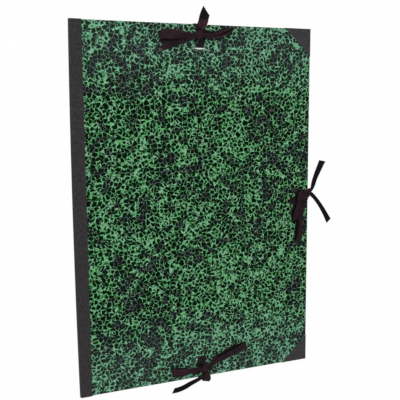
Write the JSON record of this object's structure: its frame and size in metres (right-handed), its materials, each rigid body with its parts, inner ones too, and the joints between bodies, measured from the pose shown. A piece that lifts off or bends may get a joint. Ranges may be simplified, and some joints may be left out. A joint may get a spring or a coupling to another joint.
{
  "type": "art portfolio folder",
  "caption": "Flat board folder for drawings, with a cloth spine and corners, marbled paper covers and tape ties in bows on its open sides.",
  "frame": {"origin": "centre of the folder's outline, on the surface that the closed folder lies on", "axes": "+X from the spine towards the opening side, +Y up the page towards the head, +Z out of the front cover"},
  "size_m": [0.3631, 0.4919, 0.0201],
  "materials": {
    "greyboard": "pressed grey board",
    "marbled_paper": "smooth marbled paper in greens",
    "book_cloth": "fine woven book cloth, near black",
    "lining_paper": "matt dark lining paper",
    "cotton_tape": "woven cotton tape, near black"
  },
  "bodies": {
    "root": {"back_board": "greyboard", "back_cover_paper": "marbled_paper", "back_lining": "lining_paper", "back_corner_top": "book_cloth", "back_corner_bottom": "book_cloth", "front_board": "greyboard", "front_cover_paper": "marbled_paper", "front_lining": "lining_paper", "front_corner_top": "book_cloth", "front_corner_bottom": "book_cloth", "spine_cloth": "book_cloth", "spine_lining": "book_cloth", "top_tape_front": "cotton_tape", "top_tape_back": "cotton_tape", "side_tape_front": "cotton_tape", "side_tape_back": "cotton_tape", "bottom_tape_front": "cotton_tape", "bottom_tape_back": "cotton_tape"}
  },
  "joints": []
}
